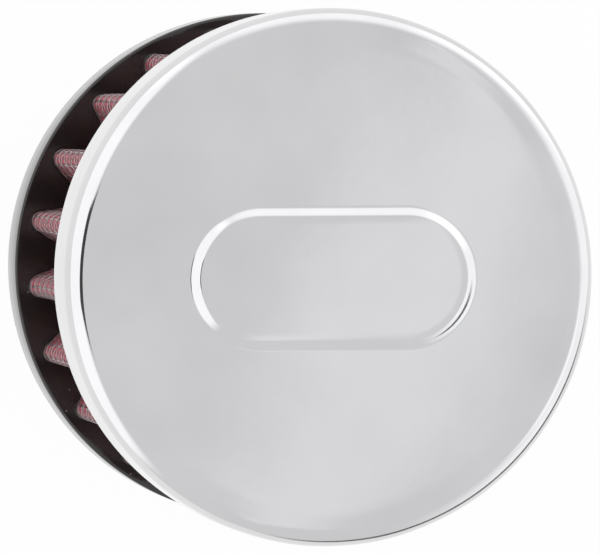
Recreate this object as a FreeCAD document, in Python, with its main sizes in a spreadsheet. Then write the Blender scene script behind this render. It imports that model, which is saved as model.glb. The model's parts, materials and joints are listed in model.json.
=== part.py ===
import FreeCAD, Part
import math
import os
import Sketcher

# Crankcase breather filter: a pressed chrome cap, a ring of pleated gauze between two wire screens,
# and a moulded base whose neck pushes over a vent pipe.
# Millimetres. The origin is the centre of the neck's mouth, and +Z runs up the axis to the cap.

SIZES = {
    # Moulded base and its neck
    "neck_bore_radius": 7.95,
    "neck_wall": 3.2,
    "neck_length": 16.0,
    "neck_root_fillet": 1.5,
    "neck_edge_radius": 0.8,
    "mouth_chamfer": 0.8,
    "base_radius": 25.0,
    "base_thickness": 5.3,
    "base_lower_edge_radius": 0.8,
    "base_upper_edge_radius": 0.25,
    # Open height of the pleats, from the base to the edge of the cap's skirt
    "open_height": 25.1,
    # Pleats, as seen from above: how far inside the base's edge, how many, how wide, how turned
    "base_ledge": 1.0,
    "pleat_count": 22,
    "pleat_half_width": 1.8,
    "valley_radius": 0.6,
    "pleat_turn": 4.9,
    "screen_thickness": 0.35,
    "gauze_thickness": 0.6,
    # Depth of the pleat ends in the base and in the cap's seal
    "base_cast_depth": 2.8,
    "seal_cast_depth": 3.0,
    "seal_thickness": 5.0,
    # Pressed cap with a blank raised badge, and the room between its skirt and the pleats
    "cap_clearance": 0.8,
    "cap_depth": 7.7,
    "cap_sheet": 0.6,
    "cap_corner_radius": 1.75,
    "badge_length": 27.0,
    "badge_width": 13.0,
    "badge_rise": 0.5,
    "badge_wall": 0.5,
    "badge_edge_radius": 0.3,
    # Clearance between pieces that are cast or folded together
    "bond_line": 0.02,
}

# Radii that follow from the sizes
PLEAT_TIP_RADIUS = "(sizes.base_radius - sizes.base_ledge)"
CAP_INSIDE = f"({PLEAT_TIP_RADIUS} + sizes.cap_clearance)"
CAP_RADIUS = f"({CAP_INSIDE} + sizes.cap_sheet)"

# Heights that follow from the sizes, measured from the neck's mouth
BASE_TOP = "(sizes.neck_length + sizes.base_thickness)"
SKIRT_EDGE = f"({BASE_TOP} + sizes.open_height)"
CAP_CEILING = "(sizes.cap_depth - sizes.cap_sheet)"
SEAL_BOTTOM = f"({SKIRT_EDGE} + {CAP_CEILING} - sizes.bond_line - sizes.seal_thickness)"
PLEAT_BOTTOM = f"({BASE_TOP} - sizes.base_cast_depth + sizes.bond_line)"
PLEAT_LENGTH = f"({SEAL_BOTTOM} + sizes.seal_cast_depth - sizes.bond_line - {PLEAT_BOTTOM})"

# Depths of the layers, measured from the outside of the outer screen
GAUZE_OUTSIDE = "(sizes.screen_thickness + sizes.bond_line)"
GAUZE_INSIDE = f"({GAUZE_OUTSIDE} + sizes.gauze_thickness)"
INNER_SCREEN_OUTSIDE = f"({GAUZE_INSIDE} + sizes.bond_line)"
PACK_INSIDE = f"({INNER_SCREEN_OUTSIDE} + sizes.screen_thickness)"

EDGE_TOLERANCE = 0.01
START, END, CENTRE = 1, 2, 3
X_AXIS, Y_AXIS = -1, -2

doc = FreeCAD.newDocument("crankcase_breather_filter")
sheet = doc.addObject("Spreadsheet::Sheet", "sizes")
for row, (alias, number) in enumerate(SIZES.items(), start=1):
    sheet.set(f"A{row}", alias)
    sheet.set(f"B{row}", str(number))
    sheet.setAlias(f"B{row}", alias)
doc.recompute()


def value(expression):
    return float(sheet.evalExpression(expression))


def new_body(label, level="0"):
    body = doc.addObject("PartDesign::Body", label)
    body.Label = label
    body.setExpression("Placement.Base.z", level)
    return body


def new_sketch(body, name, plane, level="0"):
    sketch = body.newObject("Sketcher::SketchObject", name)
    planes = {feature.Role: feature for feature in body.Origin.OriginFeatures}
    sketch.AttachmentSupport = (planes[plane], [""])
    sketch.MapMode = "FlatFace"
    sketch.setExpression("AttachmentOffset.Base.z", level)
    return sketch


def constrain(sketch, kind, *elements):
    return sketch.addConstraint(Sketcher.Constraint(kind, *elements))


def bind(sketch, kind, *elements, expression):
    index = constrain(sketch, kind, *elements, value(expression))
    sketch.setExpression(f"Constraints[{index}]", expression)


def place_point(sketch, element, point, across, up):
    """Fix a sketch point by two expressions. A zero puts it on the axis itself."""
    if across == "0":
        constrain(sketch, "PointOnObject", element, point, Y_AXIS)
    else:
        bind(sketch, "DistanceX", X_AXIS, START, element, point, expression=across)
    if up == "0":
        constrain(sketch, "PointOnObject", element, point, X_AXIS)
    else:
        bind(sketch, "DistanceY", X_AXIS, START, element, point, expression=up)


def turned_blank(body, name, corners):
    """Turn a straight-sided half section, given as (radius, height) expressions, about the axis."""
    sketch = new_sketch(body, f"{name}_section", "XZ_Plane")
    points = [FreeCAD.Vector(value(radius), value(height), 0) for radius, height in corners]
    for start, end in zip(points, points[1:] + points[:1]):
        sketch.addGeometry(Part.LineSegment(start, end))
    for index, (radius, height) in enumerate(corners):
        constrain(sketch, "Coincident", index, END, (index + 1) % len(corners), START)
        place_point(sketch, index, START, radius, height)
    blank = body.newObject("PartDesign::Revolution", name)
    blank.Profile = sketch
    blank.ReferenceAxis = (sketch, ["V_Axis"])
    blank.Angle = 360
    doc.recompute()
    return blank


def level_edges(feature, level, inside, outside):
    """Names of the flat edges at one height that stay between two distances from the axis."""
    names = []
    for number, edge in enumerate(feature.Shape.Edges, start=1):
        box = edge.BoundBox
        flat = max(abs(box.ZMin - level), abs(box.ZMax - level)) < EDGE_TOLERANCE
        reach = [math.hypot(point.x, point.y) for point in edge.discretize(9)]
        if flat and min(reach) > inside - EDGE_TOLERANCE and max(reach) < outside + EDGE_TOLERANCE:
            names.append(f"Edge{number}")
    return names


def soften(body, name, kind, size_property, size, feature, level, inside, outside=None):
    """Fillet or chamfer the edges at one height. A ring gives one radius, a field gives two."""
    nearest = value(inside)
    farthest = value(outside) if outside else nearest
    edges = level_edges(feature, value(level), nearest, farthest)
    if not edges:
        raise RuntimeError(f"{name} found no edge")
    softened = body.newObject(kind, name)
    softened.Base = (feature, edges)
    softened.setExpression(size_property, size)
    doc.recompute()
    return softened


def round_ring(body, name, size, feature, level, radius):
    return soften(body, name, "PartDesign::Fillet", "Radius", size, feature, level, radius)


def slot_sketch(body, name, level, length, width):
    """A slot outline with round ends, centred on the axis and lying along X."""
    sketch = new_sketch(body, name, "XY_Plane", level)
    end_radius = f"({width}) / 2"
    centres = f"({length}) - ({width})"
    radius = value(end_radius)
    reach = value(centres) / 2
    up = FreeCAD.Vector(0, 0, 1)
    right = FreeCAD.Vector(reach, 0, 0)
    left = FreeCAD.Vector(-reach, 0, 0)
    lift = FreeCAD.Vector(0, radius, 0)
    quarter = math.pi / 2
    top = sketch.addGeometry(Part.LineSegment(left + lift, right + lift))
    foot = sketch.addGeometry(Part.LineSegment(left - lift, right - lift))
    right_end = sketch.addGeometry(Part.ArcOfCircle(Part.Circle(right, up, radius), -quarter, quarter))
    left_end = sketch.addGeometry(Part.ArcOfCircle(Part.Circle(left, up, radius), quarter, 3 * quarter))
    constrain(sketch, "Tangent", top, END, right_end, END)
    constrain(sketch, "Tangent", foot, END, right_end, START)
    constrain(sketch, "Tangent", top, START, left_end, START)
    constrain(sketch, "Tangent", foot, START, left_end, END)
    constrain(sketch, "Horizontal", top)
    constrain(sketch, "PointOnObject", right_end, CENTRE, X_AXIS)
    constrain(sketch, "PointOnObject", left_end, CENTRE, X_AXIS)
    bind(sketch, "DistanceX", X_AXIS, START, right_end, CENTRE, expression=f"({centres}) / 2")
    bind(sketch, "DistanceX", left_end, CENTRE, right_end, CENTRE, expression=centres)
    bind(sketch, "Radius", right_end, expression=end_radius)
    return sketch


def fold_face(sketch, depth, rays):
    """One face of a fold, at a depth from the outermost face. Returns its ends, lower then upper."""
    half_width = f"sizes.pleat_half_width - ({depth})"
    curl_radius = f"sizes.valley_radius + ({depth})"
    tip_centre = f"{PLEAT_TIP_RADIUS} - sizes.pleat_half_width"
    half_pitch = math.pi / value("sizes.pleat_count")
    up = FreeCAD.Vector(0, 0, 1)
    quarter = math.pi / 2
    tip_radius = value(half_width)
    curl = value(curl_radius)
    tip_x = value(tip_centre)
    valley_y = value("sizes.pleat_half_width + sizes.valley_radius")
    valley_x = valley_y / math.tan(half_pitch)
    tip_circle = Part.Circle(FreeCAD.Vector(tip_x, 0, 0), up, tip_radius)
    tip = sketch.addGeometry(Part.ArcOfCircle(tip_circle, -quarter, quarter))
    constrain(sketch, "PointOnObject", tip, CENTRE, X_AXIS)
    bind(sketch, "DistanceX", X_AXIS, START, tip, CENTRE, expression=tip_centre)
    bind(sketch, "Radius", tip, expression=half_width)
    ends = []
    for side, ray in zip((-1, 1), rays):
        leg_tip = FreeCAD.Vector(tip_x, side * tip_radius, 0)
        leg_root = FreeCAD.Vector(valley_x, side * tip_radius, 0)
        leg = sketch.addGeometry(Part.LineSegment(leg_tip, leg_root))
        valley_circle = Part.Circle(FreeCAD.Vector(valley_x, side * valley_y, 0), up, curl)
        angles = sorted((-side * quarter % (2 * math.pi), math.pi + side * half_pitch))
        curl_arc = sketch.addGeometry(Part.ArcOfCircle(valley_circle, *angles))
        root_point, far_point = (END, START) if side > 0 else (START, END)
        constrain(sketch, "Horizontal", leg)
        constrain(sketch, "Tangent", tip, END if side > 0 else START, leg, START)
        constrain(sketch, "Tangent", curl_arc, root_point, leg, END)
        bind(sketch, "Radius", curl_arc, expression=curl_radius)
        constrain(sketch, "PointOnObject", curl_arc, CENTRE, ray)
        constrain(sketch, "PointOnObject", curl_arc, far_point, ray)
        ends.append((curl_arc, far_point))
    return ends


def fold_sketch(body, name, level, outer_depth, inner_depth):
    """One fold of a pleated layer seen from above, from the middle of one valley to the next."""
    sketch = new_sketch(body, name, "XY_Plane", level)
    sketch.setExpression("AttachmentOffset.Rotation.Angle", "sizes.pleat_turn")
    half_pitch = math.pi / value("sizes.pleat_count")
    ray_length = PLEAT_TIP_RADIUS
    rays = []
    for side in (-1, 1):
        far = FreeCAD.Vector(math.cos(half_pitch), side * math.sin(half_pitch), 0)
        ray = sketch.addGeometry(Part.LineSegment(FreeCAD.Vector(), far * value(ray_length)), True)
        constrain(sketch, "Coincident", ray, START, X_AXIS, START)
        rays.append(ray)
    bind(sketch, "Distance", rays[0], expression=ray_length)
    lean = constrain(sketch, "Angle", rays[0], START, rays[1], START, 2 * half_pitch)
    sketch.setExpression(f"Constraints[{lean}]", "360 deg / sizes.pleat_count")
    constrain(sketch, "Symmetric", rays[0], END, rays[1], END, X_AXIS)
    outer_ends = fold_face(sketch, outer_depth, rays)
    inner_ends = fold_face(sketch, inner_depth, rays)
    for (outer_arc, outer_point), (inner_arc, inner_point) in zip(outer_ends, inner_ends):
        start = sketch.getPoint(outer_arc, outer_point)
        end = sketch.getPoint(inner_arc, inner_point)
        edge = sketch.addGeometry(Part.LineSegment(start, end))
        constrain(sketch, "Coincident", edge, START, outer_arc, outer_point)
        constrain(sketch, "Coincident", edge, END, inner_arc, inner_point)
    return sketch


def ring_of(body, name, feature, sketch):
    """Repeat one fold all the way round the axis."""
    pattern = body.newObject("PartDesign::PolarPattern", name)
    pattern.Originals = [feature]
    pattern.Axis = (sketch, ["N_Axis"])
    pattern.Angle = 360
    pattern.setExpression("Occurrences", "sizes.pleat_count")
    body.Tip = pattern
    doc.recompute()
    return pattern


def pleated_layer(label, outer_depth, inner_depth):
    """A sheet folded into a ring of pleats, standing between the base and the cap."""
    body = new_body(label, PLEAT_BOTTOM)
    sketch = fold_sketch(body, f"{label}_fold_outline", "0", outer_depth, inner_depth)
    fold = body.newObject("PartDesign::Pad", f"{label}_fold")
    fold.Profile = sketch
    fold.setExpression("Length", PLEAT_LENGTH)
    doc.recompute()
    ring_of(body, f"{label}_ring", fold, sketch)
    return body


def cast_slot(body, label, level, depth, upwards):
    """The room that the pleats' ends take up in what is cast round them."""
    sketch = fold_sketch(
        body, f"{label}_slot_outline", level, "-sizes.bond_line", f"{PACK_INSIDE} + sizes.bond_line"
    )
    before = body.Shape.Volume
    slot = body.newObject("PartDesign::Pocket", f"{label}_slot")
    slot.Profile = sketch
    slot.Reversed = upwards
    slot.setExpression("Length", depth)
    doc.recompute()
    ring_of(body, f"{label}_slots", slot, sketch)
    if body.Shape.Volume > before - 1:
        raise RuntimeError(f"{label} slots cut nothing")


def rubber_base():
    """Moulded disc and neck in one piece, with the pleats' lower ends cast into its top."""
    body = new_body("rubber_base")
    bore = "sizes.neck_bore_radius"
    neck = "(sizes.neck_bore_radius + sizes.neck_wall)"
    corners = [
        (bore, "0"),
        (neck, "0"),
        (neck, "sizes.neck_length"),
        ("sizes.base_radius", "sizes.neck_length"),
        ("sizes.base_radius", BASE_TOP),
        (bore, BASE_TOP),
    ]
    shape = turned_blank(body, "base_blank", corners)
    shape = round_ring(body, "neck_root", "sizes.neck_root_fillet", shape, "sizes.neck_length", neck)
    shape = round_ring(body, "neck_edge", "sizes.neck_edge_radius", shape, "0", neck)
    shape = round_ring(
        body, "lower_edge", "sizes.base_lower_edge_radius", shape, "sizes.neck_length", "sizes.base_radius"
    )
    shape = round_ring(
        body, "upper_edge", "sizes.base_upper_edge_radius", shape, BASE_TOP, "sizes.base_radius"
    )
    soften(body, "mouth", "PartDesign::Chamfer", "Size", "sizes.mouth_chamfer", shape, "0", bore)
    cast_slot(body, "base", BASE_TOP, "sizes.base_cast_depth", upwards=False)
    return body


def badge_inside(inset):
    """Length and width of the badge's hollow underside, at an inset from its outline."""
    return f"sizes.badge_length - 2 * ({inset})", f"sizes.badge_width - 2 * ({inset})"


def top_cap():
    """Cup pressed from sheet, open downwards, with a blank raised badge on its flat face."""
    body = new_body("top_cap", SKIRT_EDGE)
    corners = [
        ("0", "sizes.cap_depth"),
        (CAP_RADIUS, "sizes.cap_depth"),
        (CAP_RADIUS, "0"),
        (CAP_INSIDE, "0"),
        (CAP_INSIDE, CAP_CEILING),
        ("0", CAP_CEILING),
    ]
    shape = turned_blank(body, "cap_blank", corners)
    outer_radius = "sizes.cap_corner_radius"
    shape = round_ring(body, "outer_corner", outer_radius, shape, "sizes.cap_depth", CAP_RADIUS)
    inner_radius = "sizes.cap_corner_radius - sizes.cap_sheet"
    round_ring(body, "inner_corner", inner_radius, shape, CAP_CEILING, CAP_INSIDE)
    badge = body.newObject("PartDesign::Pad", "badge")
    badge.Profile = slot_sketch(
        body, "badge_outline", "sizes.cap_depth", "sizes.badge_length", "sizes.badge_width"
    )
    badge.setExpression("Length", "sizes.badge_rise")
    doc.recompute()
    recess = body.newObject("PartDesign::Pocket", "badge_recess")
    recess.Profile = slot_sketch(
        body, "recess_outline", CAP_CEILING, *badge_inside("sizes.badge_wall")
    )
    recess.Reversed = True
    recess.setExpression("Length", "sizes.badge_rise")
    doc.recompute()
    if recess.Shape.Volume > badge.Shape.Volume - 1:
        raise RuntimeError("badge recess cut nothing")
    rim_level = "sizes.cap_depth + sizes.badge_rise"
    field = "sizes.badge_length / 2"
    soften(
        body, "badge_rim", "PartDesign::Fillet", "Radius", "sizes.badge_edge_radius",
        recess, rim_level, "0", field
    )
    return body


def cap_seal():
    """Disc poured into the cap, filling the badge's hollow and holding the pleats' upper ends."""
    body = new_body("cap_seal", SEAL_BOTTOM)
    radius = f"({CAP_INSIDE} - sizes.bond_line)"
    corners = [
        ("0", "0"),
        (radius, "0"),
        (radius, "sizes.seal_thickness"),
        ("0", "sizes.seal_thickness"),
    ]
    shape = turned_blank(body, "seal_blank", corners)
    corner = "sizes.cap_corner_radius - sizes.cap_sheet"
    round_ring(body, "seal_corner", corner, shape, "sizes.seal_thickness", radius)
    boss = body.newObject("PartDesign::Pad", "badge_filling")
    boss.Profile = slot_sketch(
        body, "filling_outline", "sizes.seal_thickness",
        *badge_inside("sizes.badge_wall + sizes.bond_line")
    )
    boss.setExpression("Length", "sizes.badge_rise")
    doc.recompute()
    cast_slot(body, "seal", "0", "sizes.seal_cast_depth", upwards=True)
    return body


sub_parts = [
    rubber_base(),
    pleated_layer("outer_screen", "0", "sizes.screen_thickness"),
    pleated_layer("cotton_gauze", GAUZE_OUTSIDE, GAUZE_INSIDE),
    pleated_layer("inner_screen", INNER_SCREEN_OUTSIDE, PACK_INSIDE),
    cap_seal(),
    top_cap(),
]
doc.recompute()

for item in doc.Objects:
    if "Invalid" in item.State or "Error" in item.State:
        raise RuntimeError(f"{item.Label} failed: {item.State}")
for piece in sub_parts:
    if piece.Shape.isNull() or not piece.Shape.isValid() or len(piece.Shape.Solids) != 1:
        raise RuntimeError(f"{piece.Label} is not one valid solid")

os.makedirs("parts", exist_ok=True)
for piece in sub_parts:
    piece.Shape.exportStep(os.path.join("parts", f"{piece.Label}.step"))
    box = piece.Shape.BoundBox
    print(f"{piece.Label}: volume {piece.Shape.Volume:.1f}, z {box.ZMin:.2f} to {box.ZMax:.2f}")
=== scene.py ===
import json
import math
import random

import bmesh
import bpy
from mathutils import Matrix, Vector, noise


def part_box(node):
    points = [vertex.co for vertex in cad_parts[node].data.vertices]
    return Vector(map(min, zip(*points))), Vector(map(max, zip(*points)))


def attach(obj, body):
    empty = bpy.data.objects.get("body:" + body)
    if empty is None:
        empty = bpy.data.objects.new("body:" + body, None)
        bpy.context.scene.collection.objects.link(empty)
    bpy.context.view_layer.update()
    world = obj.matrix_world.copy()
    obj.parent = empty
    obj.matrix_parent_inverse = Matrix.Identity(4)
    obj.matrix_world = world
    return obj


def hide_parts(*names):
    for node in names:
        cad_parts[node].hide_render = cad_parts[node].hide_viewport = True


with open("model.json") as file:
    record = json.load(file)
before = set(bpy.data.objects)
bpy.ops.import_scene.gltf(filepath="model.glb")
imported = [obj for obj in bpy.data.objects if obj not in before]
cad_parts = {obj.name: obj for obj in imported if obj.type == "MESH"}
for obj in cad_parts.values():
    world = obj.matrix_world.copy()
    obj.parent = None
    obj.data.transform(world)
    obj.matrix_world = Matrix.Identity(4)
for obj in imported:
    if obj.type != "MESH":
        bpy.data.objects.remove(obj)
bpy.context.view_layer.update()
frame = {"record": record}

MM = 0.001
IMAGE_WIDTH = 600

# How near mesh points join, how short an edge goes, and how sharp a corner stays sharp
WELD = 0.0005 * MM
SLIVER = 0.0001 * MM
TRUE_CORNER = math.radians(50)

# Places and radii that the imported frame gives
mounts = {mount["name"]: mount["dims"] for mount in frame["record"]["mounts"] if mount["dims"]}
cap_low, cap_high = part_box("top_cap")
seal_low, seal_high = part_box("cap_seal")
pack_low, pack_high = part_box("outer_screen")
base_low, base_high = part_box("rubber_base")
NECK_BORE = mounts["neck_bore"]["r_mm"] * MM
NECK_RADIUS = mounts["neck_outside"]["r_mm"] * MM
BASE_RADIUS = (base_high.x - base_low.x) / 2
BASE_TOP = base_high.z
PACK_BOTTOM = pack_low.z
PACK_TOP = pack_high.z
SEAL_BOTTOM = seal_low.z
SEAL_RADIUS = (seal_high.x - seal_low.x) / 2
CAP_RADIUS = (cap_high.x - cap_low.x) / 2
SKIRT_EDGE = cap_low.z

# Moulded base
BASE_THICKNESS = 5.3 * MM
BASE_UNDERSIDE = BASE_TOP - BASE_THICKNESS
BASE_UPPER_EDGE = 0.25 * MM
BASE_LOWER_EDGE = 0.8 * MM
NECK_ROOT = 1.5 * MM
NECK_EDGE = 0.8 * MM
MOUTH_CHAMFER = 0.8 * MM

# Pleats, as seen from above
PLEATS = 22
PLEAT_TURN = math.radians(4.9)
PLEAT_TIP = 24.0 * MM
PLEAT_HALF_WIDTH = 1.8 * MM
NOSE_RADIUS = 1.15 * MM
NOSE_LENGTH = 2.9 * MM
TIGHTEST_FOLD = 0.04 * MM
VALLEY_RADIUS = 0.6 * MM
SCREEN = 0.35 * MM
GAUZE = 0.6 * MM
BOND = 0.02 * MM
GAUZE_OUTSIDE = SCREEN + BOND
GAUZE_INSIDE = GAUZE_OUTSIDE + GAUZE
INNER_SCREEN_OUTSIDE = GAUZE_INSIDE + BOND
PACK_INSIDE = INNER_SCREEN_OUTSIDE + SCREEN
PLEAT_SEED = 7
PLEAT_STRAY = math.radians(0.35)
PLEAT_SWAY = math.radians(0.5)
PLEAT_REACH_STRAY = 0.1 * MM
GAUZE_PLUMP = 0.1 * MM
ARC_STEPS = 5
LEG_STEPS = 7
FLANK_STEPS = 4
NOSE_STEPS = 10

# Resin that creeps through the outer screen and up the gauze: depths in the pack, and rises
CREEP_REACH = 0.14 * MM
CREEP_SKIN = 0.3 * MM
CREEP_DEPTH = GAUZE_OUTSIDE - BOND
CREEP = [
    (-0.05 * MM, 0.0), (0.1 * MM, 0.01 * MM), (0.22 * MM, 0.03 * MM),
    (0.3 * MM, 0.06 * MM), (CREEP_DEPTH, 0.12 * MM),
]

# Woven wire, one rising over each crossing and one dipping under it, and the share of an upright
# wire's length that is left free at each end
WIRE_RADIUS = 0.068 * MM
ROUND_WIRE_PITCH = 1.45 * MM
UPRIGHT_WIRE_PITCH = 1.5 * MM
FIRST_ROUND_WIRE = 0.5 * MM
WIRE_END_GAP = 0.01

# Pressed cap and its blank badge, with the share of the badge's slope that lies inside its edge
CAP_SHEET = 0.6 * MM
CAP_CORNER = 1.75 * MM
CAP_CROWN = 0.12 * MM
ROLL_WIDTH = 1.6 * MM
ROLL_DROP = 0.05 * MM
FACE_WAVE = 0.05 * MM
FACE_WAVE_LENGTH = 13.0 * MM
FACE_WAVE_STRETCH = 0.7
SKIRT_WAVE = 0.08 * MM
SKIRT_WAVE_LENGTH = 5.0 * MM
BADGE_RISE = 0.5 * MM
BADGE_LENGTH = 27.0 * MM
BADGE_WIDTH = 13.0 * MM
BADGE_SLOPE = 1.0 * MM
SLOPE_INSIDE = 0.75
BADGE_FOOT = 0.35 * MM
CAP_FACE = cap_high.z - BADGE_RISE

# White tent and table: the tent's plain level, and the share of plain white that the table shows
TENT_LEVEL = 0.845
TABLE_REACH = 3.0
TABLE_DROP = 0.05 * MM
TABLE_WHITE = 0.95

# Lit sides of the tent: direction, where the light starts and is full, and how much it adds
TENT_LIGHTS = [
    ((-0.95, 0.1, 0.3), 0.45, 0.65, 0.52),
    ((0.3, 0.95, 0.0), 0.45, 0.9, 0.5),
    ((1.0, 0.0, 0.1), 0.4, 0.85, 0.42),
    ((0.56, -0.2, 0.8), 0.98, 0.995, 0.3),
]

# Soft strip overhead: the way across it, what it adds, how its sides wander, and where each side and
# its lower end are dark and fully lit
STRIP_ACROSS = (0.934, -0.357, 0.0)
STRIP_GAIN = 0.2
STRIP_WANDER = 0.05
STRIP_RIPPLES = 22.0
STRIP_SIDES = [(0.229, 0.245), (0.285, 0.257)]
STRIP_END = (0.8, 0.93)

# Soft lamp behind the tent's left side, and the dark cards' places
SOFTBOX_TOWARD = (-0.7, 0.6, 0.4)
SOFTBOX_DISTANCE = 1.2
CAMERA_CARD_BEHIND = 0.05
CAMERA_CARD_ASIDE = Vector((-0.05, -0.03, 0.0))
LOW_CARD_PLACE = Vector((0.23, -0.27, 0.05))
LOW_CARD_FACING = Vector((-0.65, 0.76, 0.0))

# Camera, as the photograph has it
VIEW_TILT = math.radians(12.0)
VIEW_TURN = math.radians(10.69)
VIEW_DISTANCE = 574 * MM
VIEW_ASIDE = 1.63 * MM
VIEW_DOWN = -0.17 * MM
FOCAL_PIXELS = 6039
SENSOR_WIDTH = 36.0


# Materials

# Sockets of a mix node that blends two colours
MIX_FACTOR = 0
MIX_A = 6
MIX_B = 7
MIX_RESULT = 2


def colour(hex_code):
    """A linear colour from an sRGB hex code."""
    channels = [int(hex_code[start:start + 2], 16) / 255 for start in (1, 3, 5)]
    linear = [c / 12.92 if c <= 0.04045 else ((c + 0.055) / 1.055) ** 2.4 for c in channels]
    return (*linear, 1.0)


def node(tree, kind, inputs=None, **settings):
    """Add a node, set its properties, and give each input a value or another node's output."""
    made = tree.nodes.new(kind)
    for name, setting in settings.items():
        setattr(made, name, setting)
    for name, given in (inputs or {}).items():
        if isinstance(given, bpy.types.NodeSocket):
            tree.links.new(given, made.inputs[name])
        else:
            made.inputs[name].default_value = given
    return made


def new_material(name):
    """A material, its node tree and its shader."""
    material = bpy.data.materials.new(name)
    material.use_nodes = True
    return material, material.node_tree, material.node_tree.nodes["Principled BSDF"]


def per_mm(size_mm):
    """Texture scale that repeats a pattern once in a size given in millimetres."""
    return 1 / (size_mm * MM)


def bright_chrome():
    """Chrome plated on pressed steel: mirror-like, with faint polishing haze and orange peel, and
    painted reflection: soft lighter and darker blotches in its colour.
    """
    material, tree, surface = new_material("bright_chrome_on_pressed_steel")
    place = node(tree, "ShaderNodeTexCoord").outputs["Object"]
    haze_and_painted_reflection = node(tree, "ShaderNodeTexNoise", {"Vector": place, "Scale": per_mm(10), "Detail": 3.0})
    # Painted reflection: the colour is lighter and darker in soft blotches that stand in for cloudy
    # light reflected in the face. The same noise gives the real polishing haze in the roughness.
    tone = node(tree, "ShaderNodeMix", {
        MIX_FACTOR: haze_and_painted_reflection.outputs["Fac"], MIX_A: colour("#D2D2D3"), MIX_B: colour("#E5E5E6"),
    }, data_type="RGBA")
    polish = node(tree, "ShaderNodeMapRange", {
        "Value": haze_and_painted_reflection.outputs["Fac"], "To Min": 0.05, "To Max": 0.1,
    })
    peel = node(tree, "ShaderNodeTexNoise", {"Vector": place, "Scale": per_mm(0.9), "Detail": 2.0})
    bump = node(tree, "ShaderNodeBump", {
        "Height": peel.outputs["Fac"], "Strength": 0.05, "Distance": 0.02 * MM,
    })
    surface.inputs["Metallic"].default_value = 1.0
    tree.links.new(tone.outputs[MIX_RESULT], surface.inputs["Base Color"])
    tree.links.new(polish.outputs["Result"], surface.inputs["Roughness"])
    tree.links.new(bump.outputs["Normal"], surface.inputs["Normal"])
    return material


def black_polyurethane():
    """Polyurethane moulded against smooth steel: black, brown where light gets in, with a film of
    release wax that shines at a glancing angle and specks of lint that stick to it."""
    material, tree, surface = new_material("moulded_black_polyurethane")
    place = node(tree, "ShaderNodeTexCoord").outputs["Object"]
    cloud = node(tree, "ShaderNodeTexNoise", {"Vector": place, "Scale": per_mm(6), "Detail": 4.0})
    body = node(tree, "ShaderNodeMix", {
        MIX_FACTOR: cloud.outputs["Fac"], MIX_A: colour("#171414"), MIX_B: colour("#2A2221"),
    }, data_type="RGBA")
    lint_gap_mm = 1.3
    bare_share = 0.55
    specks = node(tree, "ShaderNodeTexVoronoi", {"Vector": place, "Scale": per_mm(lint_gap_mm)})
    lint = node(tree, "ShaderNodeMapRange", {
        "Value": specks.outputs["Distance"], "From Min": 0.05, "From Max": 0.09,
        "To Min": 1.0, "To Max": 0.0,
    })
    drawn = node(tree, "ShaderNodeSeparateColor", {"Color": specks.outputs["Color"]})
    scatter = node(tree, "ShaderNodeMath", {
        0: drawn.outputs["Red"], 1: bare_share,
    }, operation="GREATER_THAN")
    shown = node(tree, "ShaderNodeMath", {
        0: lint.outputs["Result"], 1: scatter.outputs["Value"],
    }, operation="MULTIPLY")
    tone = node(tree, "ShaderNodeMix", {
        MIX_FACTOR: shown.outputs["Value"], MIX_A: body.outputs[MIX_RESULT],
        MIX_B: colour("#6E6866"),
    }, data_type="RGBA")
    gloss = node(tree, "ShaderNodeMapRange", {
        "Value": cloud.outputs["Fac"], "To Min": 0.12, "To Max": 0.2,
    })
    skin = node(tree, "ShaderNodeTexNoise", {"Vector": place, "Scale": per_mm(0.5), "Detail": 3.0})
    bump = node(tree, "ShaderNodeBump", {
        "Height": skin.outputs["Fac"], "Strength": 0.15, "Distance": 0.03 * MM,
    })
    tree.links.new(tone.outputs[MIX_RESULT], surface.inputs["Base Color"])
    tree.links.new(gloss.outputs["Result"], surface.inputs["Roughness"])
    tree.links.new(bump.outputs["Normal"], surface.inputs["Normal"])
    surface.inputs["IOR"].default_value = 1.5
    surface.inputs["Coat Weight"].default_value = 0.4
    surface.inputs["Coat Roughness"].default_value = 0.1
    return material


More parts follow.
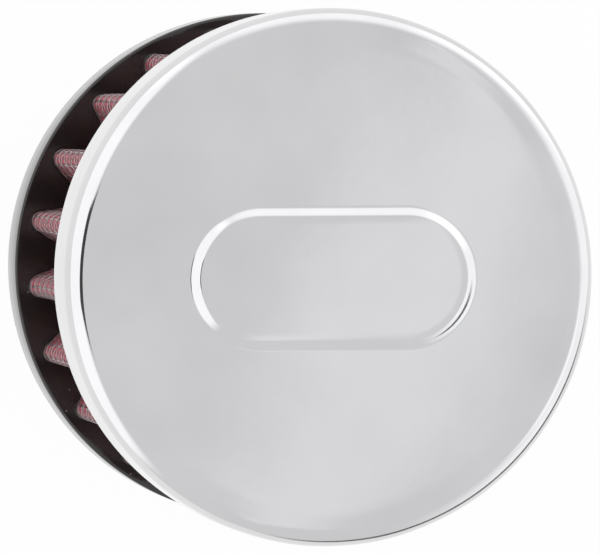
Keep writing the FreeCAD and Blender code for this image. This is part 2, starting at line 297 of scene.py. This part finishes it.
def oiled_gauze():
    """Woven cotton gauze wet with red filter oil: coarse threads, darker where oil pools. The cloth's
    own coordinates are millimetres, and a wave texture of scale 1 repeats every pi / 10."""
    material, tree, surface = new_material("red_oiled_cotton_gauze")
    cloth = node(tree, "ShaderNodeTexCoord").outputs["UV"]
    place = node(tree, "ShaderNodeTexCoord").outputs["Object"]
    thread_spacing_mm = 0.55
    thread_stray_mm = 0.12
    stray_spacing_mm = 0.625
    wave_scale = math.pi / (10 * thread_spacing_mm)
    stray = node(tree, "ShaderNodeTexNoise", {
        "Vector": cloth, "Scale": 1 / stray_spacing_mm, "Detail": 2.0,
    })
    wander = node(tree, "ShaderNodeVectorMath", {
        0: stray.outputs["Color"], 1: (thread_stray_mm, thread_stray_mm, 0.0),
    }, operation="MULTIPLY")
    laid = node(tree, "ShaderNodeVectorMath", {
        0: cloth, 1: wander.outputs["Vector"],
    }, operation="ADD")
    threads = [
        node(tree, "ShaderNodeTexWave", {
            "Vector": laid.outputs["Vector"], "Scale": wave_scale, "Distortion": 0.6, "Detail": 1.0,
        }, bands_direction=direction).outputs["Fac"]
        for direction in ("X", "Y")
    ]
    weave = node(tree, "ShaderNodeMath", {0: threads[0], 1: threads[1]}, operation="MAXIMUM")
    oil = node(tree, "ShaderNodeTexNoise", {"Vector": place, "Scale": per_mm(5), "Detail": 3.0})
    cotton = node(tree, "ShaderNodeMix", {
        MIX_FACTOR: oil.outputs["Fac"], MIX_A: colour("#861C31"), MIX_B: colour("#D0415B"),
    }, data_type="RGBA")
    tone = node(tree, "ShaderNodeMix", {
        MIX_FACTOR: weave.outputs["Value"], MIX_A: colour("#3F0F19"),
        MIX_B: cotton.outputs[MIX_RESULT],
    }, data_type="RGBA")
    bump = node(tree, "ShaderNodeBump", {
        "Height": weave.outputs["Value"], "Strength": 0.7, "Distance": 0.12 * MM,
    })
    tree.links.new(tone.outputs[MIX_RESULT], surface.inputs["Base Color"])
    tree.links.new(bump.outputs["Normal"], surface.inputs["Normal"])
    surface.inputs["Roughness"].default_value = 0.55
    surface.inputs["Sheen Weight"].default_value = 0.15
    return material


def screen_wire():
    """Drawn aluminium wire, satin from the die, with a thin film of the gauze's red oil."""
    material, tree, surface = new_material("drawn_aluminium_wire")
    place = node(tree, "ShaderNodeTexCoord").outputs["Object"]
    film = node(tree, "ShaderNodeTexNoise", {"Vector": place, "Scale": per_mm(3), "Detail": 2.0})
    tone = node(tree, "ShaderNodeMix", {
        MIX_FACTOR: film.outputs["Fac"], MIX_A: colour("#ACA1A2"), MIX_B: colour("#CBC2C3"),
    }, data_type="RGBA")
    satin = node(tree, "ShaderNodeMapRange", {
        "Value": film.outputs["Fac"], "To Min": 0.22, "To Max": 0.38,
    })
    surface.inputs["Metallic"].default_value = 1.0
    tree.links.new(tone.outputs[MIX_RESULT], surface.inputs["Base Color"])
    tree.links.new(satin.outputs["Result"], surface.inputs["Roughness"])
    return material


# Shapes

def add_piece(name, points, faces, replaced, material, cloth=None):
    """Make a mesh piece of the filter, smooth but for true corners, in place of a frame node."""
    mesh = bpy.data.meshes.new(name)
    mesh.from_pydata(points, [], faces)
    if cloth:
        layer = mesh.uv_layers.new(name="cloth")
        for loop in mesh.loops:
            layer.data[loop.index].uv = cloth[loop.vertex_index]
    shape = bmesh.new()
    shape.from_mesh(mesh)
    bmesh.ops.remove_doubles(shape, verts=shape.verts, dist=WELD)
    bmesh.ops.dissolve_degenerate(shape, edges=shape.edges, dist=SLIVER)
    bmesh.ops.recalc_face_normals(shape, faces=shape.faces)
    shape.to_mesh(mesh)
    shape.free()
    mesh.polygons.foreach_set("use_smooth", [True] * len(mesh.polygons))
    mesh.set_sharp_from_angle(angle=TRUE_CORNER)
    mesh.materials.append(material)
    piece = bpy.data.objects.new(name, mesh)
    bpy.context.collection.objects.link(piece)
    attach(piece, "root")
    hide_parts(replaced)
    return piece


def ring_faces(rings, around, closed):
    """Quads between neighbouring rings of points. Closed joins the last ring to the first."""
    faces = []
    for ring in range(rings if closed else rings - 1):
        following = (ring + 1) % rings
        for step in range(around):
            onward = (step + 1) % around
            faces.append((
                ring * around + step, ring * around + onward,
                following * around + onward, following * around + step,
            ))
    return faces


def joined(rings):
    """All the points of some rings, in order."""
    return [point for ring in rings for point in ring]


def circle_ring(angles, radius, height):
    """Points round the filter's axis at given angles."""
    return [Vector((radius * math.cos(a), radius * math.sin(a), height)) for a in angles]


def ring_angles(ring):
    """Where each point of a ring lies round the axis."""
    return [math.atan2(point.y, point.x) for point in ring]


def unwrapped(angles):
    """Angles that go on growing round the ring, with no jump at a half turn."""
    steady = [angles[0]]
    for angle in angles[1:]:
        turns = round((steady[-1] - angle) / math.tau)
        steady.append(angle + turns * math.tau)
    return steady


def blended(first, second, share):
    """A ring between two others, a share of the way to the second."""
    return [a.lerp(b, share) for a, b in zip(first, second)]


def corner_arc(radius, height, size, start, end, steps=6):
    """Points (radius, height) of a rounded corner about a centre, between two angles in degrees."""
    angles = [math.radians(start + (end - start) * step / steps) for step in range(steps + 1)]
    return [(radius + size * math.cos(a), height + size * math.sin(a)) for a in angles]


# Pleats

chance = random.Random(PLEAT_SEED)
pleat_habits = [
    {
        "stray": chance.uniform(-PLEAT_STRAY, PLEAT_STRAY),
        "sway": chance.uniform(-PLEAT_SWAY, PLEAT_SWAY),
        "reach": chance.uniform(-PLEAT_REACH_STRAY, 0),
    }
    for _ in range(PLEATS)
]


def pleat_angles(height):
    """Where each pleat points at a height. Cast ends keep their place, and the middle sways."""
    share = min(1, max(0, (height - BASE_TOP) / (SEAL_BOTTOM - BASE_TOP)))
    swell = math.sin(math.pi * share)
    return [
        PLEAT_TURN + pleat * math.tau / PLEATS + habit["stray"] + habit["sway"] * swell
        for pleat, habit in enumerate(pleat_habits)
    ]


def fold_outline(depth, lower_lean, upper_lean, reach):
    """One fold along X, valley to valley, as (point, outward) pairs at a depth in the pack.
    Its nose is pinched narrower than its legs."""
    across = PLEAT_HALF_WIDTH + VALLEY_RADIUS
    half = max(PLEAT_HALF_WIDTH - depth, TIGHTEST_FOLD)
    curl = VALLEY_RADIUS + depth
    nose = max(NOSE_RADIUS - depth, TIGHTEST_FOLD)
    nose_centre = Vector((reach - depth - nose, 0))
    shoulder = Vector((reach - NOSE_LENGTH, half))
    sight = shoulder - nose_centre
    nose_end = math.atan2(sight.y, sight.x) - math.acos(nose / sight.length)
    slant = Vector((math.cos(nose_end), math.sin(nose_end)))
    cheek = nose_centre + slant * nose
    lower = Vector((across / math.tan(lower_lean), -across))
    upper = Vector((across / math.tan(upper_lean), across))
    flipped = Vector((1, -1))
    pairs = []
    for step in range(ARC_STEPS):
        turn = (math.pi - lower_lean) + (lower_lean - math.pi / 2) * step / ARC_STEPS
        spoke = Vector((math.cos(turn), math.sin(turn)))
        pairs.append((lower + spoke * curl, -spoke))
    for step in range(LEG_STEPS):
        along = lower.x + (shoulder.x - lower.x) * step / LEG_STEPS
        pairs.append((Vector((along, -half)), Vector((0, -1))))
    for step in range(FLANK_STEPS):
        pairs.append((shoulder.lerp(cheek, step / FLANK_STEPS) * flipped, slant * flipped))
    for step in range(NOSE_STEPS):
        turn = nose_end * (2 * step / NOSE_STEPS - 1)
        spoke = Vector((math.cos(turn), math.sin(turn)))
        pairs.append((nose_centre + spoke * nose, spoke))
    for step in range(FLANK_STEPS):
        pairs.append((cheek.lerp(shoulder, step / FLANK_STEPS), slant))
    for step in range(LEG_STEPS):
        along = shoulder.x + (upper.x - shoulder.x) * step / LEG_STEPS
        pairs.append((Vector((along, half)), Vector((0, 1))))
    for step in range(ARC_STEPS):
        turn = -math.pi / 2 + (upper_lean - math.pi / 2) * step / ARC_STEPS
        spoke = Vector((math.cos(turn), math.sin(turn)))
        pairs.append((upper + spoke * curl, -spoke))
    return pairs


def pleat_outline(depth, height):
    """The whole ring of folds at a depth and a height, as (point, outward) pairs."""
    angles = pleat_angles(height)
    pairs = []
    for pleat, angle in enumerate(angles):
        before = angles[pleat - 1] - (math.tau if pleat == 0 else 0)
        after = angles[(pleat + 1) % PLEATS] + (math.tau if pleat == PLEATS - 1 else 0)
        turn = Matrix.Rotation(angle, 2)
        reach = PLEAT_TIP + pleat_habits[pleat]["reach"]
        fold = fold_outline(depth, (angle - before) / 2, (after - angle) / 2, reach)
        pairs.extend((turn @ point, turn @ outward) for point, outward in fold)
    return pairs


def outline_ring(depth, height, level=None):
    """A ring of points on the pleat outline, laid at its own height or at another level."""
    lift = height if level is None else level
    return [Vector((point.x, point.y, lift)) for point, _ in pleat_outline(depth, height)]


def outline_lengths(depth):
    """Distance along the outline to each of its points at mid height, and the whole length."""
    ring = outline_ring(depth, (BASE_TOP + SEAL_BOTTOM) / 2)
    lengths = [0.0]
    for here, onward in zip(ring, ring[1:] + ring[:1]):
        lengths.append(lengths[-1] + (onward - here).length)
    return lengths[:-1], lengths[-1]


# Sub-parts

def moulded_base(material):
    """Disc and neck in one moulding. The resin creeps a little way up the pleats cast into it."""
    slot_floor = PACK_BOTTOM - BOND
    slot_mouth = BASE_TOP - CREEP_SKIN
    outer_lip = outline_ring(-CREEP_REACH, BASE_TOP)
    inner_lip = outline_ring(PACK_INSIDE + CREEP_REACH, BASE_TOP)
    outer_angles = unwrapped(ring_angles(outer_lip))
    inner_angles = unwrapped(ring_angles(inner_lip))
    section = corner_arc(
        BASE_RADIUS - BASE_UPPER_EDGE, BASE_TOP - BASE_UPPER_EDGE, BASE_UPPER_EDGE, 90, 0
    )
    section += corner_arc(
        BASE_RADIUS - BASE_LOWER_EDGE, BASE_UNDERSIDE + BASE_LOWER_EDGE, BASE_LOWER_EDGE, 0, -90
    )
    section += corner_arc(NECK_RADIUS + NECK_ROOT, BASE_UNDERSIDE - NECK_ROOT, NECK_ROOT, 90, 180)
    section += corner_arc(NECK_RADIUS - NECK_EDGE, NECK_EDGE, NECK_EDGE, 0, -90)
    section += [(NECK_BORE + MOUTH_CHAMFER, 0), (NECK_BORE, MOUTH_CHAMFER)]
    section += [(NECK_BORE, BASE_UNDERSIDE)]
    section += corner_arc(
        NECK_BORE + BASE_UPPER_EDGE, BASE_TOP - BASE_UPPER_EDGE, BASE_UPPER_EDGE, 180, 90
    )
    rings = []
    for index, (radius, height) in enumerate(section):
        share = index / (len(section) - 1)
        angles = [a + (b - a) * share for a, b in zip(outer_angles, inner_angles)]
        rings.append(circle_ring(angles, radius, height))
    floor_rim, edge_rim = rings[-1], rings[0]
    rings += [blended(floor_rim, inner_lip, share) for share in (0.25, 0.5, 0.75, 1.0)]
    rings.append(outline_ring(PACK_INSIDE + BOND, BASE_TOP))
    rings.append(outline_ring(PACK_INSIDE + BOND, BASE_TOP, slot_floor))
    rings.append(outline_ring(-BOND, BASE_TOP, slot_floor))
    rings.append(outline_ring(-BOND, BASE_TOP, slot_mouth))
    rings.append(outline_ring(CREEP_DEPTH, BASE_TOP, slot_mouth + CREEP_SKIN / 2))
    for depth, rise in reversed(CREEP):
        rings.append(outline_ring(depth, BASE_TOP, BASE_TOP + rise))
    rings += [blended(outer_lip, edge_rim, share) for share in (0.0, 0.2, 0.4, 0.6, 0.8, 0.93)]
    faces = ring_faces(len(rings), len(outer_lip), closed=True)
    return add_piece(
        "moulded_base", joined(rings), faces, "rubber_base", material
    )


def poured_seal(material):
    """Disc of resin in the cap, with the pleats' upper ends in it."""
    slot_roof = PACK_TOP + BOND
    slot_mouth = SEAL_BOTTOM + CREEP_SKIN
    ceiling = CAP_FACE - CAP_SHEET - CAP_CROWN - BOND
    corner = CAP_CORNER - CAP_SHEET
    outer_lip = outline_ring(-CREEP_REACH, SEAL_BOTTOM)
    inner_lip = outline_ring(PACK_INSIDE + CREEP_REACH, SEAL_BOTTOM)
    outer_angles = ring_angles(outer_lip)
    centre_below = [Vector((0, 0, SEAL_BOTTOM))] * len(inner_lip)
    rings = [blended(centre_below, inner_lip, share) for share in (0.0, 0.3, 0.6, 0.9, 1.0)]
    rings.append(outline_ring(PACK_INSIDE + BOND, SEAL_BOTTOM))
    rings.append(outline_ring(PACK_INSIDE + BOND, SEAL_BOTTOM, slot_roof))
    rings.append(outline_ring(-BOND, SEAL_BOTTOM, slot_roof))
    rings.append(outline_ring(-BOND, SEAL_BOTTOM, slot_mouth))
    rings.append(outline_ring(CREEP_DEPTH, SEAL_BOTTOM, slot_mouth - CREEP_SKIN / 2))
    for depth, rise in reversed(CREEP):
        rings.append(outline_ring(depth, SEAL_BOTTOM, SEAL_BOTTOM - rise))
    edge_rim = circle_ring(outer_angles, SEAL_RADIUS, SEAL_BOTTOM)
    rings += [blended(outer_lip, edge_rim, share) for share in (0.0, 0.35, 0.7, 1.0)]
    for radius, height in corner_arc(SEAL_RADIUS - corner, ceiling - corner, corner, 0, 90):
        rings.append(circle_ring(outer_angles, radius, height))
    rings += [circle_ring(outer_angles, SEAL_RADIUS * share, ceiling) for share in (0.6, 0.3, 0.0)]
    faces = ring_faces(len(rings), len(outer_lip), closed=False)
    return add_piece(
        "poured_seal", joined(rings), faces, "cap_seal", material
    )


def gauze_pleats(material):
    """Plies of gauze folded as one, plumped out a little between the wires that hold them."""
    rows_per_wire = 2
    inner_rows = 10
    lengths, whole = outline_lengths(GAUZE_OUTSIDE)
    upright_wires = upright_wire_count()
    row_height = ROUND_WIRE_PITCH / rows_per_wire
    row_count = math.ceil((PACK_TOP - PACK_BOTTOM) / row_height)
    rings = []
    cloth = []
    for row in range(row_count + 1):
        height = PACK_BOTTOM + (PACK_TOP - PACK_BOTTOM) * row / row_count
        from_wire = (height - BASE_TOP - FIRST_ROUND_WIRE) / ROUND_WIRE_PITCH
        bulge_up = abs(math.sin(math.pi * from_wire))
        ring = []
        for (point, outward), along in zip(pleat_outline(GAUZE_OUTSIDE, height), lengths):
            bulge_round = abs(math.sin(math.pi * upright_wires * along / whole))
            place = point + outward * GAUZE_PLUMP * math.sqrt(bulge_up * bulge_round)
            ring.append(Vector((place.x, place.y, height)))
            cloth.append((along / MM, height / MM))
        rings.append(ring)
    for row in range(inner_rows + 1):
        height = PACK_TOP + (PACK_BOTTOM - PACK_TOP) * row / inner_rows
        rings.append(outline_ring(GAUZE_INSIDE, height))
        cloth.extend((along / MM, height / MM) for along in lengths)
    faces = ring_faces(len(rings), len(lengths), closed=True)
    return add_piece(
        "gauze_pleats", joined(rings), faces, "cotton_gauze", material, cloth
    )


def upright_wire_count():
    """An even number of upright wires, so that over and under meet right round the ring."""
    _, whole = outline_lengths(SCREEN / 2)
    return 2 * round(whole / UPRIGHT_WIRE_PITCH / 2)


def add_tube(points, faces, path, outwards, sides, closed):
    """Add a round wire along a path to a list of points and faces."""
    first = len(points)
    count = len(path)
    for index, (place, outward) in enumerate(zip(path, outwards)):
        before = path[index - 1] if closed or index else place
        after = path[(index + 1) % count] if closed or index < count - 1 else place
        forward = (after - before).normalized()
        aside = forward.cross(outward).normalized()
        rise = aside.cross(forward)
        for side in range(sides):
            turn = math.tau * side / sides
            points.append(place + (aside * math.cos(turn) + rise * math.sin(turn)) * WIRE_RADIUS)
    faces.extend(
        tuple(first + corner for corner in face) for face in ring_faces(count, sides, closed)
    )
    if not closed:
        faces.append(tuple(first + side for side in range(sides)))
        faces.append(tuple(first + (count - 1) * sides + side for side in range(sides)))


def round_wires(name, replaced, depth, spacing, sides, material):
    """Wires that run round all the pleats, woven over and under the upright ones."""
    middle = depth + SCREEN / 2
    lengths, whole = outline_lengths(middle)
    uprights = upright_wire_count()
    points = []
    faces = []
    for wire in range(0, int((SEAL_BOTTOM - BASE_TOP) / ROUND_WIRE_PITCH) + 1, spacing):
        height = BASE_TOP + FIRST_ROUND_WIRE + wire * ROUND_WIRE_PITCH
        path = []
        outwards = []
        for (point, outward), along in zip(pleat_outline(middle, height), lengths):
            sway = WIRE_RADIUS * math.cos(math.pi * (uprights * along / whole + wire))
            place = point + outward * sway
            path.append(Vector((place.x, place.y, height)))
            outwards.append(outward.to_3d())
        add_tube(points, faces, path, outwards, sides, closed=True)
    return add_piece(name, points, faces, replaced, material)


def upright_wires(name, replaced, depth, spacing, sides, material):
    """Wires that stand along the pleats, from the base to the cap's seal."""
    middle = depth + SCREEN / 2
    lengths, whole = outline_lengths(middle)
    uprights = upright_wire_count()
    half_steps = 2 * round((PACK_TOP - PACK_BOTTOM) / ROUND_WIRE_PITCH)
    heights = [
        PACK_BOTTOM
        + (PACK_TOP - PACK_BOTTOM) * (WIRE_END_GAP + (1 - 2 * WIRE_END_GAP) * step / half_steps)
        for step in range(half_steps + 1)
    ]
    outlines = [pleat_outline(middle, height) for height in heights]
    points = []
    faces = []
    for wire in range(0, uprights, spacing):
        target = whole * wire / uprights
        index = max(i for i, along in enumerate(lengths) if along <= target)
        onward = (index + 1) % len(lengths)
        gap = (lengths[onward] if onward else whole) - lengths[index]
        share = (target - lengths[index]) / gap
        path = []
        outwards = []
        for height, outline in zip(heights, outlines):
            point = outline[index][0].lerp(outline[onward][0], share)
            outward = outline[index][1].lerp(outline[onward][1], share).normalized()
            from_wire = (height - BASE_TOP - FIRST_ROUND_WIRE) / ROUND_WIRE_PITCH
            sway = -WIRE_RADIUS * math.cos(math.pi * (from_wire + wire))
            place = point + outward * sway
            path.append(Vector((place.x, place.y, height)))
            outwards.append(outward.to_3d())
        add_tube(points, faces, path, outwards, sides, closed=False)
    return add_piece(name, points, faces, replaced, material)


def badge_ring(half_width, height):
    """Points at a distance from the badge's centre line: two straights and two round ends."""
    straight_steps = 56
    end_steps = 64
    reach = (BADGE_LENGTH - BADGE_WIDTH) / 2
    ring = []
    for side, centre in ((1, reach), (-1, -reach)):
        for step in range(end_steps):
            turn = math.pi * (step / end_steps - 0.5)
            along = centre + side * half_width * math.cos(turn)
            ring.append(Vector((along, side * half_width * math.sin(turn), height)))
        for step in range(straight_steps):
            along = side * (reach - 2 * reach * step / straight_steps)
            ring.append(Vector((along, side * half_width, height)))
    return ring


def pressed(point, face_radius):
    """Crown a point of the cap and give it the slight unevenness that pressing leaves."""
    radius = math.hypot(point.x, point.y)
    held = min(1, (point.z - SKIRT_EDGE) / CAP_CORNER)
    point.z -= CAP_CROWN * min(1, radius / face_radius) ** 2 * held
    roll = min(1, max(0, (radius - face_radius) / ROLL_WIDTH + 1))
    point.z -= ROLL_DROP * roll * roll * held
    spot = Vector((point.x, point.y * FACE_WAVE_STRETCH, 0)) / FACE_WAVE_LENGTH
    point.z -= FACE_WAVE * (0.5 + 0.5 * noise.noise(spot)) * held
    outside = max(0, (radius - CAP_RADIUS) / CAP_SHEET + 1)
    dent = SKIRT_WAVE * (0.5 + 0.5 * noise.noise(point / SKIRT_WAVE_LENGTH)) * outside
    point.xy *= 1 - dent / max(radius, CAP_SHEET)


def chrome_cap(material):
    """Cup pressed from sheet, with a rounded corner, a faintly crowned face and a blank badge."""
    top_steps = 8
    slope_steps = 20
    face_steps = 22
    skirt_steps = 6
    edge = BADGE_WIDTH / 2
    face_radius = CAP_RADIUS - CAP_CORNER
    crest = edge - SLOPE_INSIDE * BADGE_SLOPE
    badge_top = CAP_FACE + BADGE_RISE
    rings = [badge_ring(crest * step / top_steps, badge_top) for step in range(top_steps)]
    for step in range(slope_steps + 1):
        share = step / slope_steps
        ease = share * share * (3 - 2 * share)
        half_width = edge + BADGE_SLOPE * (share - SLOPE_INSIDE)
        rings.append(badge_ring(half_width, CAP_FACE + BADGE_RISE * (1 - ease)))
    foot = badge_ring(edge + BADGE_FOOT, CAP_FACE)
    angles = ring_angles(foot)
    rim = circle_ring(angles, face_radius, CAP_FACE)
    rings += [blended(foot, rim, step / face_steps) for step in range(face_steps)]
    face_rings = len(rings)
    corner_top = CAP_FACE - CAP_CORNER
    outside = corner_arc(face_radius, corner_top, CAP_CORNER, 90, 0, steps=16)
    lip = CAP_SHEET / 2
    skirt_drop = SKIRT_EDGE + lip - corner_top
    for step in range(1, skirt_steps):
        outside.append((CAP_RADIUS, corner_top + skirt_drop * step / skirt_steps))
    outside += corner_arc(CAP_RADIUS - lip, SKIRT_EDGE + lip, lip, 0, -180, steps=8)
    inner_corner = CAP_CORNER - CAP_SHEET
    inside = corner_arc(face_radius, corner_top, inner_corner, 0, 90, steps=8)
    rings += [circle_ring(angles, radius, height) for radius, height in outside + inside]
    underside = [
        [Vector((point.x, point.y, point.z - CAP_SHEET)) for point in ring]
        for ring in reversed(rings[:face_rings])
    ]
    rings += underside
    for ring in rings:
        for point in ring:
            pressed(point, face_radius)
    faces = ring_faces(len(rings), len(angles), closed=False)
    return add_piece("chrome_cap", joined(rings), faces, "top_cap", material)


# Stage

def stage_sheet(name, width, height, material):
    """Flat sheet that stands round the filter and isn't part of it."""
    outline = [(-0.5, -0.5), (0.5, -0.5), (0.5, 0.5), (-0.5, 0.5)]
    mesh = bpy.data.meshes.new(name)
    mesh.from_pydata([(x * width, y * height, 0) for x, y in outline], [], [(0, 1, 2, 3)])
    mesh.materials.append(material)
    sheet = bpy.data.objects.new(name, mesh)
    bpy.context.collection.objects.link(sheet)
    return sheet


def stage_floor():
    """Pale table that the filter stands on: white with a faint shadow, and clear from below."""
    material = bpy.data.materials.new("white_table")
    material.use_nodes = True
    tree = material.node_tree
    tree.nodes.clear()
    path = node(tree, "ShaderNodeLightPath")
    seen = path.outputs["Is Camera Ray"]
    for ray in ("Is Glossy Ray", "Is Transmission Ray"):
        either = node(tree, "ShaderNodeMath", {0: seen, 1: path.outputs[ray]}, operation="MAXIMUM")
        seen = either.outputs["Value"]
    share = node(tree, "ShaderNodeMath", {0: seen, 1: TABLE_WHITE}, operation="MULTIPLY")
    matt = node(tree, "ShaderNodeBsdfDiffuse", {"Color": colour("#F6F6F6")})
    white = node(tree, "ShaderNodeEmission", {"Color": (1, 1, 1, 1), "Strength": 1.0})
    both = node(tree, "ShaderNodeMixShader", {
        0: share.outputs["Value"], 1: matt.outputs["BSDF"], 2: white.outputs["Emission"],
    })
    clear = node(tree, "ShaderNodeBsdfTransparent")
    below = node(tree, "ShaderNodeNewGeometry").outputs["Backfacing"]
    one_sided = node(tree, "ShaderNodeMixShader", {
        0: below, 1: both.outputs["Shader"], 2: clear.outputs["BSDF"],
    })
    node(tree, "ShaderNodeOutputMaterial", {"Surface": one_sided.outputs["Shader"]})
    table = stage_sheet("table", 2 * TABLE_REACH, 2 * TABLE_REACH, material)
    table.location.z = -TABLE_DROP


def stage_world():
    """White tent round the filter, brightest to the left and behind, with a soft strip overhead."""
    world = bpy.data.worlds.new("white_tent")
    bpy.context.scene.world = world
    world.use_nodes = True
    tree = world.node_tree
    direction = node(tree, "ShaderNodeTexCoord").outputs["Generated"]
    level = TENT_LEVEL
    for toward, starts, full, extra in TENT_LIGHTS:
        facing = node(tree, "ShaderNodeVectorMath", {
            0: direction, 1: toward,
        }, operation="DOT_PRODUCT")
        glow = node(tree, "ShaderNodeMapRange", {
            "Value": facing.outputs["Value"], "From Min": starts, "From Max": full,
            "To Min": 0.0, "To Max": extra,
        }, interpolation_type="SMOOTHSTEP")
        lit = node(tree, "ShaderNodeMath", {0: glow.outputs["Result"], 1: level}, operation="ADD")
        level = lit.outputs["Value"]
    ripple = node(tree, "ShaderNodeTexNoise", {
        "Vector": direction, "Scale": STRIP_RIPPLES, "Detail": 2.0,
    })
    across = node(tree, "ShaderNodeVectorMath", {
        0: direction, 1: STRIP_ACROSS,
    }, operation="DOT_PRODUCT")
    wandering = node(tree, "ShaderNodeMath", {
        0: ripple.outputs["Fac"], 1: STRIP_WANDER, 2: across.outputs["Value"],
    }, operation="MULTIPLY_ADD")
    height = node(tree, "ShaderNodeSeparateXYZ", {"Vector": direction})
    edges = [(wandering.outputs["Value"], side) for side in STRIP_SIDES]
    edges.append((height.outputs["Z"], STRIP_END))
    strip = STRIP_GAIN
    for place, (dark, full) in edges:
        edge = node(tree, "ShaderNodeMapRange", {
            "Value": place, "From Min": dark, "From Max": full,
        }, interpolation_type="SMOOTHSTEP")
        inside = node(tree, "ShaderNodeMath", {
            0: edge.outputs["Result"], 1: strip,
        }, operation="MULTIPLY")
        strip = inside.outputs["Value"]
    level = node(tree, "ShaderNodeMath", {0: level, 1: strip, 2: level}, operation="MULTIPLY_ADD")
    background = tree.nodes["Background"]
    background.inputs["Color"].default_value = colour("#FBFBFC")
    tree.links.new(level.outputs["Value"], background.inputs["Strength"])


def softbox(name, direction, distance, size, radiance):
    """Square soft light that faces the filter from behind the tent's cloth."""
    lamp = bpy.data.lights.new(name, "AREA")
    lamp.shape = "SQUARE"
    lamp.size = size
    lamp.energy = radiance * math.pi * size * size
    box = bpy.data.objects.new(name, lamp)
    aim = Vector((0, 0, (BASE_TOP + SKIRT_EDGE) / 2))
    away = Vector(direction).normalized()
    box.location = aim + away * distance
    box.rotation_euler = away.to_track_quat("Z", "Y").to_euler()
    box.visible_glossy = False
    bpy.context.collection.objects.link(box)


def dark_card(name, centre, facing, width, height, shade, solid):
    """Dark card that a studio holds beside chrome to draw a dark line in its rounded corner. A solid
    share of its width is in the middle, and its ends fade."""
    material, tree, surface = new_material(name)
    surface.inputs["Base Color"].default_value = colour(shade)
    surface.inputs["Roughness"].default_value = 0.9
    place = node(tree, "ShaderNodeTexCoord").outputs["Object"]
    aside = node(tree, "ShaderNodeSeparateXYZ", {"Vector": place}).outputs["X"]
    from_middle = node(tree, "ShaderNodeMath", {0: aside}, operation="ABSOLUTE")
    fade = node(tree, "ShaderNodeMapRange", {
        "Value": from_middle.outputs["Value"],
        "From Min": solid * width / 2, "From Max": width / 2,
    }, interpolation_type="SMOOTHSTEP")
    clear = node(tree, "ShaderNodeBsdfTransparent")
    feathered = node(tree, "ShaderNodeMixShader", {
        0: fade.outputs["Result"], 1: surface.outputs["BSDF"], 2: clear.outputs["BSDF"],
    })
    tree.links.new(feathered.outputs["Shader"], tree.nodes["Material Output"].inputs["Surface"])
    card = stage_sheet(name, width, height, material)
    card.location = centre
    card.rotation_euler = facing.to_track_quat("Z", "Y").to_euler()
    card.visible_camera = False
    card.visible_shadow = False
    card.visible_diffuse = False


def place_camera():
    """Long lens nearly face on to the cap, so that the pleats show only along the left. The filter's
    axes as the lens sees them are found first, and give the camera's own axes."""
    axis = Vector((
        math.sin(VIEW_TILT) * math.cos(VIEW_TURN), math.sin(VIEW_TILT) * math.sin(VIEW_TURN),
        -math.cos(VIEW_TILT),
    ))
    across = (Vector((1, 0, 0)) - axis * axis.x).normalized()
    upward = axis.cross(across)
    right, down, ahead = (Vector((across[i], upward[i], axis[i])) for i in range(3))
    skirt_centre = Vector((0, 0, SKIRT_EDGE))
    lens = bpy.data.cameras.new("camera")
    lens.sensor_fit = "HORIZONTAL"
    lens.sensor_width = SENSOR_WIDTH
    lens.lens = FOCAL_PIXELS * SENSOR_WIDTH / IMAGE_WIDTH
    camera = bpy.data.objects.new("camera", lens)
    turn = Matrix((right, -down, -ahead)).transposed().to_4x4()
    spot = skirt_centre - right * VIEW_ASIDE - down * VIEW_DOWN - ahead * VIEW_DISTANCE
    camera.matrix_world = Matrix.Translation(spot) @ turn
    bpy.context.collection.objects.link(camera)
    bpy.context.scene.camera = camera
    return spot, ahead


chrome = bright_chrome()
rubber = black_polyurethane()
gauze = oiled_gauze()
wire = screen_wire()
moulded_base(rubber)
gauze_pleats(gauze)
round_wires("outer_round_wires", "outer_screen", 0.0, spacing=1, sides=5, material=wire)
upright_wires("outer_upright_wires", "outer_screen", 0.0, spacing=1, sides=4, material=wire)

# The inner screen shows only through the neck, so every second wire is enough
inner_depth = INNER_SCREEN_OUTSIDE
round_wires("inner_round_wires", "inner_screen", inner_depth, spacing=2, sides=3, material=wire)
upright_wires("inner_upright_wires", "inner_screen", inner_depth, spacing=2, sides=3, material=wire)

poured_seal(rubber)
chrome_cap(chrome)

stage_floor()
stage_world()
softbox("left_softbox", SOFTBOX_TOWARD, SOFTBOX_DISTANCE, size=0.7, radiance=1.2)
camera_spot, camera_ahead = place_camera()
card_spot = camera_spot - camera_ahead * CAMERA_CARD_BEHIND + CAMERA_CARD_ASIDE
dark_card(
    "camera_card", card_spot, camera_ahead, width=0.16, height=0.2, shade="#3C3C3C", solid=0.95
)
dark_card(
    "low_card", LOW_CARD_PLACE, LOW_CARD_FACING, width=0.8, height=0.1, shade="#6A6A6A", solid=0.4
)
bpy.context.scene.view_settings.view_transform = "Standard"
